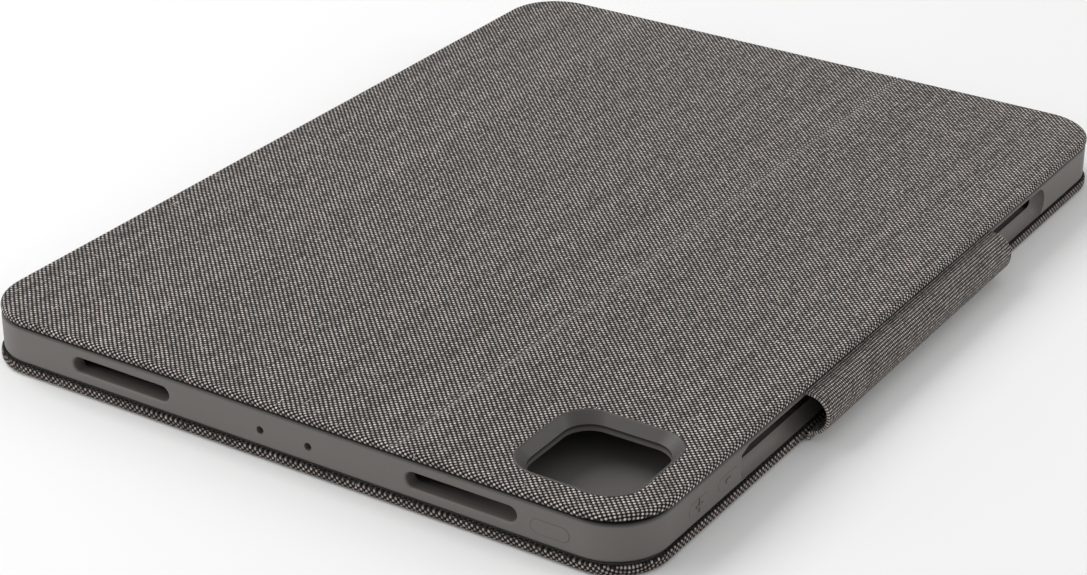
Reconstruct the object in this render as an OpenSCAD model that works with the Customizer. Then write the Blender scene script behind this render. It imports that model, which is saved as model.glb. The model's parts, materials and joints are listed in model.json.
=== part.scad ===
// Tablet keyboard case: a soft tray for an 11-inch tablet, a woven back with a kickstand,
// a keyboard joined to the tray by a folding spine, and a latch flap with a stylus loop.
// It lies closed on the underside of its keyboard: X runs along the long edges, -Y is the
// latch edge, +Y is the spine edge, +Z is up through the back of the tablet.

/* [Tablet that fits] */
// Length of the tablet, along X
tablet_w = 247.6; // [200:0.1:300]
// Depth of the tablet, along Y
tablet_d = 178.5; // [145:0.1:220]
// Thickness of the tablet
tablet_t = 5.9; // [4.9:0.1:9]
// Gap between the tablet and the tray on every side
tablet_gap = 0.1; // [0.05:0.05:0.5]

/* [Tray] */
// Tray wall at both short edges
side_wall = 3.5; // [2.5:0.1:6]
// Tray wall at the latch edge
front_wall = 3.05; // [2.5:0.05:6]
// Tray wall at the spine edge
rear_wall = 7.05; // [5.5:0.05:12]
// Thickness of the lip round the screen
lip_t = 2.2; // [1.5:0.1:3]
// How far the lip reaches over the screen's border
lip_reach = 2; // [1:0.1:4]
// Thickness of the tray behind the tablet
tray_back_t = 1.6; // [1.5:0.1:3]
// Corner radius of the tray
tray_r = 14; // [8:0.5:20]

/* [Woven panels] */
// How far the woven panels stand out past the tray
panel_overhang = 0.6; // [0.3:0.1:2]
// Gap between the tray and the back panel
panel_gap = 0.5; // [0.2:0.05:1]
// Corner radius of the back panel
panel_r = 16; // [10:0.5:22]
// Thickness of the back panel
panel_t = 2; // [2:0.1:3.5]
// Thickness of the woven cloth with its glue
cloth_t = 0.6; // [0.4:0.1:0.8]
// Distance from the latch edge of the case to the kickstand's hinge line
crease_from_front = 64; // [50:1:90]

/* [Camera opening] */
// Centre of the opening from the tablet's short edge
camera_from_side = 19.3; // [18:0.1:40]
// Centre of the opening from the tablet's latch edge
camera_from_front = 20.3; // [18.5:0.1:40]
// Size of the opening's rim in the back panel
camera_rim = 32.6; // [26:0.1:33]
// Corner radius of that rim
camera_rim_r = 8.6; // [5:0.1:12]
// Size of the opening where it meets the tablet
camera_hole = 27.4; // [20:0.1:28]
// Corner radius of the opening there
camera_hole_r = 7; // [3:0.1:10]

/* [Tray openings and buttons] */
// Length of each speaker slot
speaker_len = 29.6; // [15:0.1:36]
// Height of each speaker slot
speaker_h = 4.2; // [3:0.1:4.6]
// Distance of each speaker slot's centre from the middle of the short edge
speaker_from_mid = 49; // [30:0.5:60]
// Width of the charging opening
port_w = 12.6; // [9:0.1:16]
// Height of the charging opening
port_h = 5; // [4:0.1:5.1]
// How far the middles of these openings lie below the middle of the wall
slot_drop = 0.4; // [0:0.1:0.8]
// Radius of the microphone holes
mic_r = 1; // [0.4:0.1:1.2]
// Distance of the microphone holes from the middle
mic_from_mid = 6.9; // [4:0.1:12]
// How far the microphone holes lie below the middle of the wall
mic_drop = 1; // [0:0.1:1.5]
// Length of the power button
power_len = 10; // [8:0.1:14]
// Power button's centre from the tablet's latch edge
power_from_front = 18.75; // [17:0.05:23]
// Length of each volume button
volume_len = 9; // [6:0.1:10]
// Volume up button's centre from the tablet's short edge
volume_up_from_side = 23.3; // [18:0.1:24]
// Volume down button's centre from the tablet's short edge
volume_down_from_side = 36.3; // [34:0.1:37]
// Height of the buttons
button_h = 3.6; // [3:0.1:3.7]
// How far the buttons' middles lie below the middle of the wall
button_drop = 1; // [0:0.1:1]
// Gap all round a button
button_gap = 0.12; // [0.1:0.01:0.3]

/* [Stylus loop] */
// Radius of the stylus
stylus_r = 4.45; // [3.7:0.05:5.4]
// Gap between the stylus and what it lies in
stylus_gap = 0.15; // [0.05:0.05:0.4]
// Where the groove starts, from the tablet's left short edge
groove_from_left = 45.8; // [45:0.1:70]
// Length of the groove's full round part
groove_len = 162; // [120:0.5:170]
// Width of the latch flap
latch_w = 103; // [60:1:125]
// Thickness of the latch flap
latch_t = 1.05; // [1:0.05:1.6]

/* [Keyboard] */
// Height of the keyboard's edge
keyboard_edge_h = 2.9; // [2.6:0.1:4]
// How far the deck stands above the edge
deck_rise = 1; // [0.6:0.1:1.1]
// Gap between the closed keyboard's edge and the tray
closing_gap = 0.3; // [0.3:0.05:1]
// Thickness of the stiffening plate in the base
base_plate_t = 0.5; // [0.3:0.1:1]
// Thickness of the key circuit sheet
circuit_t = 0.3; // [0.2:0.1:0.5]
// Corner radius of the keyboard
keyboard_r = 14; // [8:0.5:20]
// How far the keycaps stand above the deck
key_rise = 0.9; // [0.5:0.1:1.1]
// How far a key is pressed down
key_travel = 0.9; // [0.5:0.1:1]
// Gap between neighbouring keycaps
key_gap = 2; // [1.5:0.1:4]
// Depth of the keys in the function row
function_d = 8; // [6:0.5:12]
// Deck left clear between the keys and the tray's lip at the short edges
key_side_margin = 3.4; // [2:0.1:8]
// Deck left clear between the keys and the tray's lip at the spine
key_rear_margin = 3.4; // [3:0.1:8]
// Deck left clear between the trackpad and the tray's lip at the latch edge
pad_front_margin = 11; // [6:0.5:20]
// Deck between the space bar and the trackpad
pad_rear_margin = 8; // [4:0.5:15]
// Width of the trackpad
pad_w = 96; // [60:1:120]
// Depth of the trackpad
pad_d = 56; // [30:1:60]
// Travel of the trackpad's click
pad_travel = 0.3; // [0.2:0.05:0.4]
// Gap round the trackpad and in the openings round the keys
pad_gap = 0.3; // [0.2:0.05:0.6]

/* [Kickstand hinge] */
// Radius of the hinge pins
pin_r = 0.35; // [0.25:0.01:0.45]
// Running clearance between a pin and its knuckles, on the radius
pin_clearance = 0.03; // [0.02:0.01:0.06]
// Wall of the hinge knuckles round the bore
knuckle_wall = 0.34; // [0.3:0.01:0.4]
// Length of each of the three hinges
hinge_len = 36; // [24:1:60]
// Distance between the middles of neighbouring hinges
hinge_pitch = 84; // [70:1:95]
// Thickness of the hinge leaves
leaf_t = 0.5; // [0.4:0.05:0.6]
// Widest opening angle of the kickstand
kickstand_open = 120; // [90:1:130]
// Radius of the magnets that hold the closed kickstand
magnet_r = 4; // [2:0.5:6]
// Thickness of those magnets
tray_magnet_t = 0.8; // [0.5:0.1:1]
// Distance between neighbouring magnets
magnet_pitch = 60; // [30:1:65]
// Magnets' centres from the spine edge
magnet_from_edge = 16; // [10:1:40]

/* [Spine] */
// Length of the spine strip along X
spine_w = 190; // [120:1:200]
// Thickness of the spine strip
spine_t = 0.9; // [0.6:0.1:1.2]
// Gap between the spine strip and the edges that it covers
spine_gap = 0.4; // [0.3:0.05:1]
// Height of the spine's lower fold line
spine_low_z = 1; // [0.8:0.1:1.5]
// Spare height left between the folded case and the keyboard's underside
fold_spare = 0.7; // [0.5:0.1:3]

/* [Hidden] */
EPS = 0.01;
ROUND_FN = 96;
SMALL_FN = 48;
CLOTH = [0.42, 0.40, 0.38];
GREEN = [0.18, 0.45, 0.30];
RUBBER = [0.36, 0.35, 0.34];
STEEL = [0.72, 0.73, 0.75];
DARK = [0.16, 0.16, 0.17];
KEY_GREY = [0.30, 0.30, 0.31];

// Tray, worked out from the tablet that it holds
bay_w = tablet_w + 2 * tablet_gap;
bay_d = tablet_d + 2 * tablet_gap;
bay_h = tablet_t + tablet_gap;
tray_w = bay_w + 2 * side_wall;
tray_d = bay_d + front_wall + rear_wall;
case_w = tray_w + 2 * panel_overhang;
case_d = tray_d + 2 * panel_overhang;
front_y = -case_d / 2;
rear_y = case_d / 2;
bay_front_y = -tray_d / 2 + front_wall;
bay_rear_y = bay_front_y + bay_d;
bay_mid_y = (bay_front_y + bay_rear_y) / 2;
bay_r = max(tray_r - front_wall, 4);
tray_low_z = keyboard_edge_h + closing_gap;
bay_low_z = tray_low_z + lip_t;
bay_top_z = bay_low_z + bay_h;
tray_top_z = bay_top_z + tray_back_t;
wall_mid_z = (bay_low_z + bay_top_z) / 2;
slot_z = wall_mid_z - slot_drop;
mic_z = wall_mid_z - mic_drop;
button_z = wall_mid_z - button_drop;
tablet_left = -tablet_w / 2;
tablet_front_y = bay_front_y + tablet_gap;
power_y = tablet_front_y + power_from_front;
volume_up_x = tablet_left + volume_up_from_side;
volume_down_x = tablet_left + volume_down_from_side;
button_proud = 0.05;
button_window_h = button_h + 2 * button_gap;
button_inside = 0.3;
open_w = bay_w - 2 * lip_reach;
open_d = bay_d - 2 * lip_reach;
open_r = max(bay_r - lip_reach, 2);
lip_front_y = bay_front_y + lip_reach;
lip_rear_y = bay_rear_y - lip_reach;

// Back panel and kickstand
panel_low_z = tray_top_z + panel_gap;
panel_top_z = panel_low_z + panel_t;
core_inset = 1.2;
core_top_z = panel_top_z - cloth_t;
crease_y = front_y + crease_from_front;
knuckle_r = pin_r + pin_clearance + knuckle_wall;
knuckle_space = 0.15;
knuckle_proud = 0.12;
hinge_z = core_top_z - knuckle_r + knuckle_proud;
crease_slope = kickstand_open / 2;
crease_slot = 0.25;
leaf_reach = 9;
leaf_room_from = 0.6;
knuckle_end_gap = 0.5;
leaf_low_z = hinge_z - leaf_t / 2;
hinge_parts = 3;
knuckle_gap = 0.15;
knuckle_len = (hinge_len - (hinge_parts - 1) * knuckle_gap) / hinge_parts;

// Camera opening
camera_x = tablet_left + camera_from_side;
camera_y = tablet_front_y + camera_from_front;
rim_wall = 0.8;
rim_proud = 0.1;

// Stylus groove and latch
stylus_y = tablet_front_y - stylus_r;
latch_slack = 0.05;
latch_in_r = stylus_r + latch_slack;
latch_out_r = latch_in_r + latch_t;
latch_top_z = panel_low_z - 0.45;
stylus_z = latch_top_z - latch_out_r;
groove_r = stylus_r + stylus_gap;
groove_x = tablet_left + groove_from_left;
groove_taper = 3.5;
groove_tip = 1.2;
latch_root_y = front_y - 0.3;
latch_tab_y = front_y - 0.35;
latch_tab_low_z = 0.4;
latch_core_t = 0.4;
core_side = 4;
core_root = 0.5;
anchor_reach = 6;
anchor_t = 0.6;
anchor_inset = 1.1;
magnet_t = 0.5;
tab_magnet_h = 1.4;
tab_magnet_w = 22;
tab_magnet_pitch = 34;
edge_magnet_d = 2;
edge_magnet_h = 1.2;
edge_magnet_y = front_y + 2.4 + edge_magnet_d / 2;

// Keyboard levels
plate_low_z = cloth_t;
plate_top_z = plate_low_z + base_plate_t;
circuit_top_z = plate_top_z + circuit_t;
deck_top_z = keyboard_edge_h + deck_rise;
deck_t = 1;
deck_low_z = deck_top_z - deck_t;
deck_edge_z = keyboard_edge_h - 0.6;
deck_rim_z = keyboard_edge_h - 0.2;
deck_clear = 1;
key_hollow = 1.4;
circuit_margin = 1;
pad_hollow = 1.2;
cover_inset = 1.2;
pocket_gap = 0.1;
deck_inset = 1.5;
key_top_z = deck_top_z + key_rise;
key_low_z = circuit_top_z + 0.3 + key_travel;
key_cap_z = deck_top_z + 0.3;
stem_inset = 0.9;
dome_r = 2.4;
dome_top_r = 1.6;
dome_h = key_low_z - circuit_top_z - key_travel - 0.05;
key_corner = 1.6;

// Trackpad and its switch
pad_t = 0.9;
pad_corner = 3;
switch_h = 0.5;
switch_button_h = 0.15;
switch_button_r = 1.2;
switch_w = 6;
frame_inset = 2;
frame_low_z = plate_top_z + switch_h + switch_button_h + pad_travel + 0.05;

// Key layout: rows from the spine towards the latch
columns = 14;
key_left = -open_w / 2 + key_side_margin;
key_field_w = open_w - 2 * key_side_margin;
pitch_x = (key_field_w + key_gap) / columns;
key_rear = lip_rear_y - key_rear_margin;
pad_front_y = lip_front_y + pad_front_margin;
pad_rear_y = pad_front_y + pad_d;
switch_y = pad_front_y + 8;
key_front = pad_rear_y + pad_rear_margin;
main_rows = 5;
pitch_y = (key_rear - function_d - key_front) / main_rows;
key_d = pitch_y - key_gap;
function_y = key_rear - function_d;
// Widths of the wide keys, in columns
wide_return = 1.75;
wide_caps = 1.25;
wide_shift_left = 2;
wide_shift_right = 2;
side_keys = 4;
half_gap = 0.8;
space_cols = columns - 2 * side_keys;

// Controller board
board_w = 50;
board_d = 26;
board_t = 0.8;
board_gap = 0.2;
chip_w = 10;
chip_h = 0.5;
board_x = -pad_w / 2 - 10 - board_w;
board_y = pad_front_y + 6;
board_top_z = plate_top_z + board_t;
board_room_z = deck_rim_z - 0.2;

// Spine
spine_in_y = rear_y + spine_gap;
spine_mid_y = spine_in_y + spine_t / 2;
spine_high_z = spine_low_z + (panel_top_z + fold_spare) / 2;
fold_room = 0.4;
strip_low_z = spine_low_z + fold_room;
strip_high_z = spine_high_z - fold_room;
cable_w = 14;
cable_t = 0.3;
tab_t = rear_y + 0.4 - tray_d / 2;
tab_h = 3;

// Connector in the tray
pin_pitch = 5;
contact_r = 0.75;
contact_gap = 0.05;
contact_travel = 0.6;
contact_proud = 0.8;
connector_y = bay_rear_y - 8;
connector_w = 20;
connector_d = 5;
connector_top_z = tray_top_z - 0.4;
contact_top_z = connector_top_z - contact_travel - 0.05;

KEY_NODES = ["function_keys", "number_keys", "upper_keys", "home_keys", "lower_keys", "bottom_keys",
  "backspace_key", "tab_key", "caps_key", "return_key", "left_shift_key", "right_shift_key", "space_bar"];

// ---- shapes used by several pieces ----

// A flat outline with round corners, centred
module outline(w, d, r) {
  square([w - 2 * r, d], center = true);
  square([w, d - 2 * r], center = true);
  for (sx = [-1, 1], sy = [-1, 1])
    translate([sx * (w / 2 - r), sy * (d / 2 - r)]) circle(r, $fn = ROUND_FN);
}

// A plate with round corners from z0 up to z1
module plate(w, d, r, z0, z1) {
  translate([0, 0, z0]) linear_extrude(z1 - z0) outline(w, d, r);
}

// Points of a small rounded rectangle, four steps to a corner
function small_corner(cx, cy, r, a0) = [
  for (i = [0:4]) [cx + r * cos(a0 + i * 22.5), cy + r * sin(a0 + i * 22.5)]];
function small_outline(w, d, r) = concat(
  small_corner(w - r, d - r, r, 0), small_corner(r, d - r, r, 90),
  small_corner(r, r, r, 180), small_corner(w - r, r, r, 270));

// A block from corner a to corner b
module block(a, b) {
  translate(a) cube(b - a);
}

// A bar with round ends that crosses a short-edge wall, from x0 to x1, about a point (y, z)
module side_bar(x0, x1, y, z, len, h) {
  r = h / 2;
  block([x0, y - len / 2 + r, z - r], [x1, y + len / 2 - r, z + r]);
  for (e = [-1, 1])
    translate([x0, y + e * (len / 2 - r), z])
      rotate([0, 90, 0]) cylinder(h = x1 - x0, r = r, $fn = SMALL_FN);
}

// The same across the long latch-edge wall, from y0 to y1, about a point (x, z)
module front_bar(y0, y1, x, z, len, h) {
  r = h / 2;
  block([x - len / 2 + r, y0, z - r], [x + len / 2 - r, y1, z + r]);
  for (e = [-1, 1])
    translate([x + e * (len / 2 - r), y1, z])
      rotate([90, 0, 0]) cylinder(h = y1 - y0, r = r, $fn = SMALL_FN);
}

// A slot right through a short-edge wall, on side -1 or 1
module side_slot(side, y, z, len, h) {
  inside = side * (bay_w / 2 - 1);
  outside = side * (case_w / 2 + 1);
  side_bar(min(inside, outside), max(inside, outside), y, z, len, h);
}

// Room for the stylus: a round groove with a tapered left end and a round right end
module stylus_room() {
  translate([groove_x, stylus_y, stylus_z]) rotate([0, 90, 0])
    cylinder(h = groove_len, r = groove_r, $fn = ROUND_FN);
  translate([groove_x - groove_taper, stylus_y, stylus_z]) rotate([0, 90, 0])
    cylinder(h = groove_taper, r1 = groove_r - groove_tip, r2 = groove_r, $fn = ROUND_FN);
  translate([groove_x + groove_len, stylus_y, stylus_z]) sphere(groove_r, $fn = ROUND_FN);
}

// ---- keyboard ----

// Woven cloth round the outside of the keyboard
module base_cover() {
  color(CLOTH) difference() {
    plate(case_w, case_d, keyboard_r, 0, keyboard_edge_h);
    plate(case_w - 2 * cover_inset, case_d - 2 * cover_inset, keyboard_r - cover_inset,
      cloth_t, keyboard_edge_h + 1);
  }
}

// Stiff plate glued in the bottom of the cover
module base_plate() {
  color(STEEL) plate(case_w - 2 * deck_inset, case_d - 2 * deck_inset, keyboard_r - deck_inset,
    plate_low_z, plate_top_z);
}

// Printed sheet with the key contacts
module key_circuit() {
  color(GREEN)
    block([key_left - circuit_margin, key_front - circuit_margin, plate_top_z],
      [key_left + key_field_w + circuit_margin, key_rear + circuit_margin, circuit_top_z]);
}

// Left edge and width of a key that starts at a column and is some columns wide
function key_x(col) = key_left + col * pitch_x;
function key_w(cols) = cols * pitch_x - key_gap;
// Lower edge of a main row, 0 next to the function keys
function row_y(row) = function_y - (row + 1) * pitch_y;

// One keycap: a flat cap over a narrower stem that stands in the deck's opening
module keycap(x, y, w, d) {
  translate([x, y, key_cap_z]) linear_extrude(key_top_z - key_cap_z)
    polygon(small_outline(w, d, key_corner));
  block([x + stem_inset, y + stem_inset, key_low_z], [x + w - stem_inset, y + d - stem_inset, key_cap_z]);
}

module key_at(row, col, cols = 1) {
  color(KEY_GREY) keycap(key_x(col), row_y(row), key_w(cols), key_d);
}

module function_keys() {
  color(KEY_GREY) for (i = [0:columns - 1]) keycap(key_x(i), function_y, key_w(1), function_d);
}
module number_keys() { for (i = [0:columns - 2]) key_at(0, i); }
module backspace_key() { key_at(0, columns - 1); }
module tab_key() { key_at(1, 0); }
module upper_keys() { for (i = [1:columns - 1]) key_at(1, i); }
module caps_key() { key_at(2, 0, wide_caps); }
module home_keys() { for (i = [0:columns - 4]) key_at(2, wide_caps + i); }
module return_key() { key_at(2, columns - wide_return, wide_return); }
module left_shift_key() { key_at(3, 0, wide_shift_left); }
module lower_keys() { for (i = [0:columns - 5]) key_at(3, wide_shift_left + i); }
module right_shift_key() { key_at(3, columns - wide_shift_right, wide_shift_right); }
module space_bar() { key_at(4, side_keys, space_cols); }
// The space bar's row, where two half-height keys share the last column but one
module bottom_keys() {
  for (i = [0:side_keys - 1]) key_at(4, i);
  for (i = [0:side_keys - 1]) if (i != side_keys - 2) key_at(4, columns - side_keys + i);
  half = (key_d - half_gap) / 2;
  x = key_x(columns - 2);
  color(KEY_GREY) keycap(x, row_y(4), key_w(1), half);
  color(KEY_GREY) keycap(x, row_y(4) + half + half_gap, key_w(1), half);
}

// Places where a rubber dome stands under a key: the middle of each column in each row
module key_domes() {
  color("whitesmoke") for (row = [0:main_rows], col = [0:columns - 1]) {
    x = key_x(col) + key_w(1) / 2;
    y = row == 0 ? function_y + function_d / 2 : row_y(row - 1) + key_d / 2;
    translate([x, y, circuit_top_z]) cylinder(h = dome_h, r1 = dome_r, r2 = dome_top_r, $fn = 24);
  }
}

// Openings for the keys: one long window to a row, with the keys of the row side by side
module key_window(y0, y1) {
  block([key_left - pad_gap, y0 - pad_gap, deck_low_z - 1],
    [key_left + key_field_w + pad_gap, y1 + pad_gap, deck_top_z + 1]);
}
module key_windows() {
  for (row = [0:main_rows - 1]) key_window(row_y(row), row_y(row) + key_d);
  key_window(function_y, key_rear);
}

// Room under the keys or under the trackpad, which reaches past them by a margin
module key_room(margin) {
  block([key_left - margin, key_front - margin, 0],
    [key_left + key_field_w + margin, key_rear + margin, deck_low_z]);
}
module pad_room(margin, top) {
  block([-pad_w / 2 - margin, pad_front_y - margin, 0], [pad_w / 2 + margin, pad_rear_y + margin, top]);
}

// Soft grey deck: a rim that sits in the cover and a raised field with the openings
module deck_cover() {
  color(RUBBER) difference() {
    union() {
      plate(case_w - 2 * deck_inset, case_d - 2 * deck_inset, keyboard_r - deck_inset,
        plate_top_z, deck_rim_z);
      translate([0, bay_mid_y, 0])
        plate(open_w - 2 * deck_clear, open_d - 2 * deck_clear, open_r, deck_edge_z, deck_top_z);
    }
    key_room(key_hollow);
    pad_room(pad_hollow, deck_low_z);
    pad_room(pad_gap, deck_top_z + 1);
    key_windows();
    board_room(board_gap);
    magnet_blocks(pocket_gap);
  }
}

// Room for the controller board, left of the trackpad
module board_room(gap) {
  block([board_x - gap, board_y - gap, 0], [board_x + board_w + gap, board_y + board_d + gap, board_room_z]);
}

// Controller board with its chip
module controller_board() {
  color(GREEN) block([board_x, board_y, plate_top_z], [board_x + board_w, board_y + board_d, board_top_z]);
  color(DARK) translate([board_x + board_w / 2, board_y + board_d / 2, board_top_z + chip_h / 2])
    cube([chip_w, chip_w, chip_h], center = true);
}

// Magnets along the keyboard's front edge that hold the latch's tab
module magnet_blocks(gap) {
  for (i = [-1:1])
    translate([i * tab_magnet_pitch, edge_magnet_y, plate_top_z + edge_magnet_h / 2])
      cube([tab_magnet_w + 2 * gap, edge_magnet_d + 2 * gap, edge_magnet_h + 2 * gap], center = true);
}

module keyboard_magnets() {
  color(STEEL) magnet_blocks(0);
}

// Click switch under the front of the trackpad, with its steel button
module pad_switch() {
  color(DARK) translate([0, switch_y, plate_top_z + switch_h / 2])
    cube([switch_w, switch_w, switch_h], center = true);
  color(STEEL) translate([0, switch_y, plate_top_z + switch_h])
    cylinder(h = switch_button_h, r = switch_button_r, $fn = 24);
}

// Glass-smooth plate of the trackpad
module trackpad() {
  color(KEY_GREY) translate([-pad_w / 2, pad_front_y, deck_top_z - pad_t]) linear_extrude(pad_t)
    polygon(small_outline(pad_w, pad_d, pad_corner));
}

// Frame that carries the trackpad plate
module trackpad_frame() {
  color(STEEL) block([-pad_w / 2 + frame_inset, pad_front_y + frame_inset, frame_low_z],
    [pad_w / 2 - frame_inset, pad_rear_y - frame_inset, deck_top_z - pad_t]);
}

// ---- spine ----

// Woven strip between the keyboard and the tray
module spine_strip() {
  color(CLOTH) difference() {
    block([-spine_w / 2, spine_in_y, strip_low_z], [spine_w / 2, spine_in_y + spine_t, strip_high_z]);
    cable(1);
  }
}

// Flat cable from the tray's contacts to the keyboard, inside the strip
module cable(spare) {
  block([-cable_w / 2, spine_mid_y - cable_t / 2, strip_low_z - spare],
    [cable_w / 2, spine_mid_y + cable_t / 2, strip_high_z + spare]);
}
module spine_cable() {
  color("darkorange") cable(0);
}

// End of the strip, glued to the tray's rear wall above the upper fold
module spine_tab() {
  z0 = spine_high_z + fold_room;
  color(CLOTH) block([-spine_w / 2, tray_d / 2, z0],
    [spine_w / 2, tray_d / 2 + tab_t, min(z0 + tab_h, tray_top_z)]);
}

// ---- tray ----

module camera_outline(size, r, z0, z1) {
  translate([camera_x, camera_y, 0]) plate(size, size, r, z0, z1);
}

// The tablet's bay, as a solid
module bay(z0, z1) {
  translate([0, bay_mid_y, 0]) plate(bay_w, bay_d, bay_r, z0, z1);
}

// Soft lip that holds the tablet round its screen
module screen_lip() {
  color(RUBBER) difference() {
    plate(tray_w, tray_d, tray_r, tray_low_z, bay_low_z);
    translate([0, bay_mid_y, 0]) plate(open_w, open_d, open_r, tray_low_z - 1, bay_low_z + 1);
    stylus_room();
  }
}

// Soft walls round the tablet, with the openings for its sides
module tray_shell() {
  color(RUBBER) difference() {
    plate(tray_w, tray_d, tray_r, bay_low_z, tray_top_z);
    bay(bay_low_z - 1, tray_top_z + 1);
    stylus_room();
    for (side = [-1, 1], y = [-1, 1])
      side_slot(side, y * speaker_from_mid, slot_z, speaker_len, speaker_h);
    side_slot(1, 0, slot_z, port_w, port_h);
    for (y = [-1, 1])
      translate([-case_w / 2, y * mic_from_mid, mic_z])
        rotate([0, 90, 0]) cylinder(h = side_wall + 2, r = mic_r, $fn = SMALL_FN);
    side_slot(-1, power_y, button_z, power_len + 2 * button_gap, button_window_h);
    for (x = [volume_up_x, volume_down_x])
      front_bar(front_y, bay_front_y + 1, x, button_z, volume_len + 2 * button_gap, button_window_h);
    anchor_room(pocket_gap);
  }
}

// Stiff plate behind the tablet, bonded inside the walls
module tray_back() {
  color(RUBBER) difference() {
    bay(bay_top_z, tray_top_z);
    camera_outline(camera_hole, camera_hole_r, bay_top_z - 1, tray_top_z + 1);
    magnet_discs(tray_top_z - tray_magnet_t, tray_top_z + 1, pocket_gap);
    connector_room(pocket_gap);
    anchor_room(pocket_gap);
  }
}

// Room for the flap's root in the top of the tray
module anchor_room(gap) {
  block([-latch_w / 2 + anchor_inset - gap, -tray_d / 2 - 1, tray_top_z - anchor_t],
    [latch_w / 2 - anchor_inset + gap, -tray_d / 2 + anchor_reach, tray_top_z + 1]);
}

// Discs that hold the closed kickstand, near its free edge
module magnet_discs(z0, z1, gap) {
  for (i = [-1.5:1.5])
    translate([i * magnet_pitch, rear_y - magnet_from_edge, z0])
      cylinder(h = z1 - z0, r = magnet_r + gap, $fn = SMALL_FN);
}

module tray_magnets() {
  color(STEEL) magnet_discs(tray_top_z - tray_magnet_t, tray_top_z, 0);
}

// Room for the contact block
module connector_room(gap) {
  block([-connector_w / 2 - gap, connector_y - connector_d / 2 - gap, bay_top_z - 1],
    [connector_w / 2 + gap, connector_y + connector_d / 2 + gap, connector_top_z]);
}

// Contact block set in the back of the bay, with a guide for each pin
module connector_block() {
  color(DARK) difference() {
    block([-connector_w / 2, connector_y - connector_d / 2, bay_top_z],
      [connector_w / 2, connector_y + connector_d / 2, connector_top_z]);
    for (i = [-1:1])
      translate([i * pin_pitch, connector_y, bay_top_z - 1])
        cylinder(h = tray_back_t + 2, r = contact_r + contact_gap, $fn = 24);
  }
}

// Spring contact that presses on the back of the tablet
module contact_pin(i) {
  color("gold") translate([i * pin_pitch, connector_y, bay_top_z - contact_proud])
    cylinder(h = contact_top_z - bay_top_z + contact_proud, r = contact_r, $fn = 24);
}
module contact_pin_1() { contact_pin(-1); }
module contact_pin_2() { contact_pin(0); }
module contact_pin_3() { contact_pin(1); }

module power_button() {
  color(RUBBER) side_bar(-tray_w / 2 - button_proud, -bay_w / 2 - button_inside,
    power_y, button_z, power_len, button_h);
}
module volume_button(x) {
  color(RUBBER) front_bar(-tray_d / 2 - button_proud, bay_front_y - button_inside,
    x, button_z, volume_len, button_h);
}
module volume_up_button() { volume_button(volume_up_x); }
module volume_down_button() { volume_button(volume_down_x); }

// ---- back panel: a fixed part over the camera and a kickstand, hinged at the crease ----

// Everything on one side of the crease, side -1 for the fixed part and 1 for the kickstand
module side_of_crease(side) {
  near = side * crease_slot;
  far = side * case_d;
  z0 = tray_top_z - 1;
  z1 = panel_top_z + 1;
  slope = side * (z1 - hinge_z) * tan(crease_slope);
  translate([-case_w, crease_y, 0]) rotate([90, 0, 90]) linear_extrude(2 * case_w)
    polygon([[near, z0], [near, hinge_z], [near + slope, z1], [far, z1], [far, z0]]);
}

// Room round the hinge knuckles
module knuckle_room(r) {
  for (i = [-1:1])
    translate([i * hinge_pitch - hinge_len / 2 - knuckle_end_gap, crease_y, hinge_z])
      rotate([0, 90, 0]) cylinder(h = hinge_len + 2 * knuckle_end_gap, r = r, $fn = SMALL_FN);
}

// Pockets for the hinge leaves in a core, side as above
module leaf_room(side, gap) {
  y0 = crease_y + side * leaf_room_from;
  y1 = crease_y + side * (leaf_reach + gap);
  for (i = [-1:1])
    block([i * hinge_pitch - hinge_len / 2 - gap, min(y0, y1), leaf_low_z - gap],
      [i * hinge_pitch + hinge_len / 2 + gap, max(y0, y1), leaf_low_z + leaf_t + gap]);
}

// The core's outline
module core(z0, z1) {
  plate(case_w - 2 * core_inset, case_d - 2 * core_inset, panel_r - core_inset, z0, z1);
}

// The core on one side of the crease
module core_plate(side) {
  difference() {
    intersection() {
      core(panel_low_z, core_top_z);
      side_of_crease(side);
    }
    knuckle_room(knuckle_r + knuckle_space);
    leaf_room(side, 0.05);
  }
}

// The cloth round the core on one side of the crease
module cover_plate(side) {
  difference() {
    intersection() {
      plate(case_w, case_d, panel_r, panel_low_z, panel_top_z);
      side_of_crease(side);
    }
    core(panel_low_z - 1, core_top_z);
    knuckle_room(knuckle_r + knuckle_space);
  }
}

module panel_core() {
  color(DARK) difference() {
    core_plate(-1);
    camera_outline(camera_rim, camera_rim_r, panel_low_z - 1, panel_top_z + 1);
  }
}

module back_cover() {
  color(CLOTH) difference() {
    cover_plate(-1);
    camera_outline(camera_rim, camera_rim_r, panel_low_z - 1, panel_top_z + 1);
  }
}

// Soft rim that slopes in from the woven panel to the camera opening
module camera_bezel() {
  color(RUBBER) difference() {
    camera_outline(camera_rim, camera_rim_r, tray_top_z, panel_top_z + rim_proud);
    hull() {
      camera_outline(camera_hole, camera_hole_r, tray_top_z - EPS, tray_top_z);
      camera_outline(camera_rim - 2 * rim_wall, camera_rim_r - rim_wall,
        panel_top_z + rim_proud, panel_top_z + 1);
    }
  }
}

module kickstand_plate() {
  color(DARK) difference() {
    core_plate(1);
    magnet_discs(panel_low_z - 1, panel_low_z + tray_magnet_t, 0.1);
  }
}

module kickstand_cover() {
  color(CLOTH) cover_plate(1);
}

module kickstand_magnets() {
  color(STEEL) magnet_discs(panel_low_z, panel_low_z + tray_magnet_t, 0);
}

// Left end of one knuckle of hinge i, part 0, 1 or 2 along X
function knuckle_x(i, part) = i * hinge_pitch - hinge_len / 2 + part * (knuckle_len + knuckle_gap);

// A bar along X on the hinge axis
module axis_bar(x, len, r) {
  translate([x, crease_y, hinge_z]) rotate([0, 90, 0]) cylinder(h = len, r = r, $fn = SMALL_FN);
}

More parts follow.
